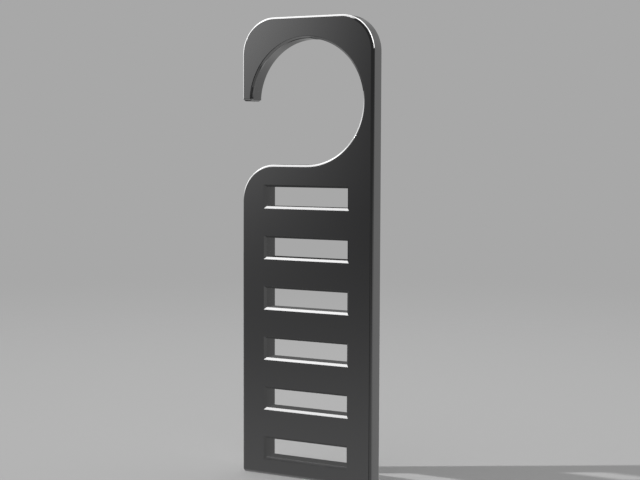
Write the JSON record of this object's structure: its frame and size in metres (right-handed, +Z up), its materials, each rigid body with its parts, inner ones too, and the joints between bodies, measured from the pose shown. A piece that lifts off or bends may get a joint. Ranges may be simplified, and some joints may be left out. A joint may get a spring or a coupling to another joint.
{
  "type": "belt hanger",
  "caption": "Flat plate hanger with an open-sided round hook at the top and a ladder of long rectangular slots for belts.",
  "frame": {"origin": "middle of the plate's bottom edge, at the height of the surface that the hanger stands on, halfway through its thickness", "axes": "+Z up, from the bottom edge to the hook; +X to the right as seen from the front, so the hook's mouth opens towards -X; +Y through the plate from the front face to the back face"},
  "size_m": [0.065, 0.0092, 0.204],
  "materials": {
    "black_plastic": "polished, glossy black"
  },
  "bodies": {
    "root": {"hanger_plate": "black_plastic"}
  },
  "joints": []
}
